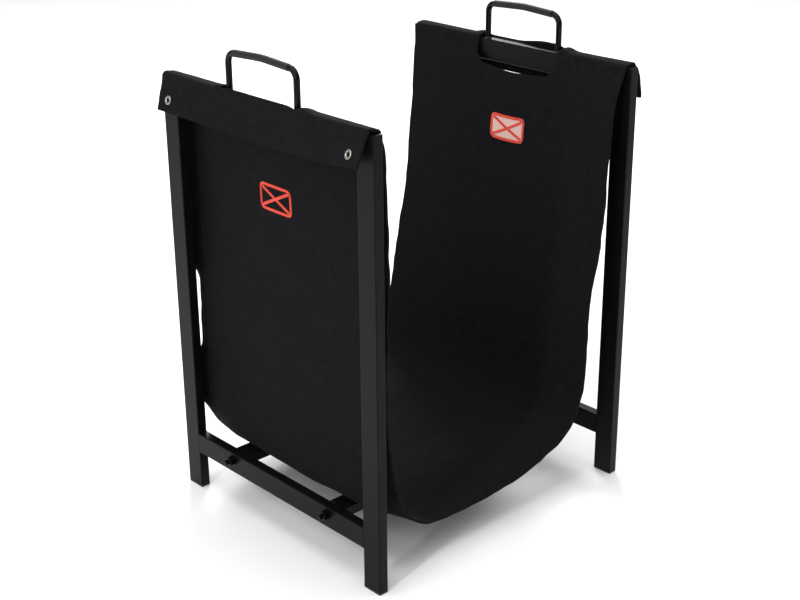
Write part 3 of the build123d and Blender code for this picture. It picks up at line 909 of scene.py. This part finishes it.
def sew(name, side, lift, material):
    """One object of all the stitches of a box and cross on a wall."""
    spot = wall_frame(side)
    stitches = box_and_cross()
    n = THREAD_SIDES
    vertices = []
    faces = []
    for number, (middle_of, across) in enumerate(stitches):
        half = STITCH_LENGTH / 2 * (1 + STITCH_UNEVEN * math.sin(number * UNEVEN_TURN))
        rings = []
        for t in THREAD_RINGS:
            at = middle_of + across * (half * t)
            point, normal = spot(at.x, at.y)
            radius = THREAD / 2 * (THREAD_TIP if abs(t) == 1.0 else 1.0)
            height = HALF_FELT + lift + STITCH_BOW * (1 - t * t) + STITCH_CLEAR
            rings.append((point + normal * height, normal, radius))
        direction = (rings[-1][0] - rings[0][0]).normalized()
        first = len(vertices)
        for centre, normal, radius in rings:
            sideways = direction.cross(normal).normalized()
            for k in range(n):
                a = 2 * math.pi * k / n
                vertices.append(centre + (sideways * math.cos(a) + normal * math.sin(a)) * radius)
        for j in range(len(rings) - 1):
            for k in range(n):
                a, b = first + j * n + k, first + j * n + (k + 1) % n
                faces.append((a, b, b + n, a + n))
        faces.append(tuple(first + k for k in range(n)))
        faces.append(tuple(first + (len(rings) - 1) * n + k for k in reversed(range(n))))
    piece = new_object(name, vertices, faces, material)
    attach(piece, "sling")
    print(name, "has", len(stitches), "stitches")
    return piece


left_stitching = sew("left_box_stitching", "left", 0.0, red_thread)
right_stitching = sew("right_box_stitching", "right", 0.55, red_thread)

# %% [markdown]
# The pale patch on the right wall is a scrap of the same felt process in undyed, slightly
# pink wool, cut a little larger than the stitched box. It is a thin plate that follows the
# wall, with a top, a bottom and an edge all round.

# %% The pale patch
PATCH_MARGIN = 1.2
PATCH_TOP = 0.5
PATCH_BOTTOM = 0.02
PATCH_ACROSS = 26
PATCH_UP = 14
LEAST_SQUARE = 0.01


def pale_felt():
    material, tree = blank_material("undyed_felt_pink")
    place = add(tree, "ShaderNodeTexCoord").outputs["Object"]
    fuzz = add(tree, "ShaderNodeTexNoise", Vector=place, Scale=per_mm(FIBRE_DRAWN), Detail=3.0)
    bump = add(tree, "ShaderNodeBump", Height=fuzz.outputs["Fac"], Strength=0.4, Distance=0.0003)
    tint = add(tree, "ShaderNodeMix", {"data_type": "RGBA"}, Factor=fuzz.outputs["Fac"],
               _6=linear("c79a92"), _7=linear("e4c4bc"))
    shader = add(tree, "ShaderNodeBsdfPrincipled", Base_Color=tint.outputs[2], Roughness=0.9,
                 IOR=1.5, Sheen_Weight=0.2, Normal=bump.outputs["Normal"])
    finish_material(tree, shader)
    return material


def patch(name, side, material):
    """A rounded rectangle of thin felt that follows the wall."""
    spot = wall_frame(side)
    w, h = BOX_WIDTH / 2 + PATCH_MARGIN, BOX_HEIGHT / 2 + PATCH_MARGIN
    across = [w * (2 * k / PATCH_ACROSS - 1) for k in range(PATCH_ACROSS + 1)]
    vertices = []
    for lift in (PATCH_BOTTOM, PATCH_TOP):
        for x in across:
            corner = max(0.0, abs(x) - (w - BOX_CORNER))
            reach = h - BOX_CORNER + math.sqrt(max(BOX_CORNER**2 - corner**2, LEAST_SQUARE))
            for j in range(PATCH_UP + 1):
                point, normal = spot(x, reach * (2 * j / PATCH_UP - 1))
                vertices.append(point + normal * (HALF_FELT + lift))
    tall = PATCH_UP + 1
    plate = len(across) * tall
    faces = []
    for i in range(PATCH_ACROSS):
        for j in range(PATCH_UP):
            a = i * tall + j
            faces.append((a, a + 1, a + tall + 1, a + tall))
            faces.append((plate + a, plate + a + tall, plate + a + tall + 1, plate + a + 1))
    rim = [i * tall for i in range(PATCH_ACROSS)]
    rim += [PATCH_ACROSS * tall + j for j in range(PATCH_UP)]
    rim += [i * tall + PATCH_UP for i in range(PATCH_ACROSS, 0, -1)]
    rim += list(range(PATCH_UP, 0, -1))
    for a, b in zip(rim, rim[1:] + rim[:1]):
        faces.append((a, b, plate + b, plate + a))
    piece = new_object(name, vertices, faces, material)
    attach(piece, "sling")
    return piece


right_patch = patch("right_felt_patch", "right", pale_felt())
patch_size = [round(side + 2 * PATCH_MARGIN, 1) for side in (BOX_WIDTH, BOX_HEIGHT)]
print("patch of", patch_size, "mm")

# %% [markdown]

# %% [markdown]
# The floor is a wide pale sheet, so that the black carrier stands out and its feet have a
# soft contact shadow. It is no part of the object.

# %% Floor
FLOOR_SIZE = 30.0


def matt_backdrop_paper():
    material, tree = blank_material("matt_backdrop_paper")
    place = add(tree, "ShaderNodeTexCoord").outputs["Object"]
    tooth = add(tree, "ShaderNodeTexNoise", Vector=place, Scale=per_mm(400), Detail=2.0)
    tint = add(tree, "ShaderNodeMix", {"data_type": "RGBA"}, Factor=tooth.outputs["Fac"],
               _6=linear("f6f6f5"), _7=linear("fafaf9"))
    shader = add(tree, "ShaderNodeBsdfPrincipled", Base_Color=tint.outputs[2], Roughness=0.9,
                 Specular_IOR_Level=0.1)
    finish_material(tree, shader)
    return material


half_floor = FLOOR_SIZE / 2 / MM
floor_corners = [Vector((x, y, 0)) * half_floor for x, y in ((-1, -1), (1, -1), (1, 1), (-1, 1))]
floor = new_object("floor", floor_corners, [(0, 1, 2, 3)], matt_backdrop_paper())
print("floor", FLOOR_SIZE, "m square")

# %% [markdown]
# Studio light for a black object: a surround that is bright overhead and dim at the sides,
# so upright faces stay dark, and large soft boxes. One hangs over the top. One stands to the
# left and lifts the left frame's outside. One behind is mirrored in the rails' tops as their
# pale lines. A narrow upright one is mirrored in the round bars and the tubes' corners.

# %% Lights
def soft_box(name, place, target, size, power):
    """An area light of a width and height, aimed at a point."""
    lamp = bpy.data.lights.new(name, "AREA")
    lamp.shape = "RECTANGLE"
    lamp.size, lamp.size_y = size
    lamp.energy = power
    holder = bpy.data.objects.new(name, lamp)
    bpy.context.scene.collection.objects.link(holder)
    holder.location = place
    holder.rotation_euler = (Vector(target) - Vector(place)).to_track_quat("-Z", "Y").to_euler()
    return holder


def studio_surround(name, horizon, zenith):
    """A surround that is dim at the horizon and bright overhead, as under a studio's ceiling."""
    surround = bpy.data.worlds.new(name)
    surround.use_nodes = True
    tree = surround.node_tree
    tree.nodes.clear()
    direction = add(tree, "ShaderNodeTexCoord").outputs["Generated"]
    height = add(tree, "ShaderNodeSeparateXYZ", Vector=direction)
    strength = add(tree, "ShaderNodeMapRange", {"interpolation_type": "SMOOTHSTEP"},
                   Value=height.outputs["Z"], To_Min=horizon, To_Max=zenith)
    sky = add(tree, "ShaderNodeBackground", Color=linear("ffffff"), Strength=strength.outputs["Result"])
    output = add(tree, "ShaderNodeOutputWorld")
    tree.links.new(sky.outputs["Background"], output.inputs["Surface"])
    return surround


soft_box("top_box", (-0.3, 0.0, 2.6), (0, 0, 0.3), (2.0, 2.0), 22)
soft_box("left_box", (-2.6, 0.6, 1.9), (-0.1, 0, 0.35), (1.4, 1.4), 12)
soft_box("back_box", (1.5, 1.9, 1.7), (0, 0, 0.45), (1.0, 1.0), 50)
soft_box("strip_box", (-1.7, -0.5, 1.1), (0, 0, 0.5), (0.1, 1.2), 13)
bpy.context.scene.world = studio_surround("studio_surround", 0.25, 1.15)
bpy.context.scene.view_settings.view_transform = "Standard"
print("four soft boxes and a surround")

# %% [markdown]
# The camera stands where the photograph's did. Its place, its turn and its lens were solved
# from the legs' ends, corners and edges, which are straight and square. The lens has no shift.

# %% Camera
CAMERA_PLACE = Vector((-1057.893, -1132.491, 870.464)) * MM
CAMERA_AZIMUTH = math.radians(-42.938)
CAMERA_ELEVATION = math.radians(22.416)
CAMERA_ROLL = math.radians(0.387)
LENS_MM = 65.178

backwards = Vector((math.sin(CAMERA_AZIMUTH) * math.cos(CAMERA_ELEVATION),
                    -math.cos(CAMERA_AZIMUTH) * math.cos(CAMERA_ELEVATION),
                    math.sin(CAMERA_ELEVATION)))
level = (-backwards).cross(Vector((0, 0, 1))).normalized()
downwards = (-backwards).cross(level)
right_way = level * math.cos(CAMERA_ROLL) + downwards * math.sin(CAMERA_ROLL)
down_way = downwards * math.cos(CAMERA_ROLL) - level * math.sin(CAMERA_ROLL)
camera_data = bpy.data.cameras.new("photo_camera")
camera_data.lens = LENS_MM
camera_data.sensor_width = 36.0
camera_data.sensor_fit = "HORIZONTAL"
camera_data.clip_start = 0.05
camera_data.clip_end = 100.0
camera = bpy.data.objects.new("photo_camera", camera_data)
bpy.context.scene.collection.objects.link(camera)
turn = Matrix((right_way, -down_way, backwards)).transposed().to_4x4()
camera.matrix_world = Matrix.Translation(CAMERA_PLACE) @ turn
bpy.context.scene.camera = camera
print("camera at", [round(v, 3) for v in camera.location], "lens", LENS_MM, "mm")
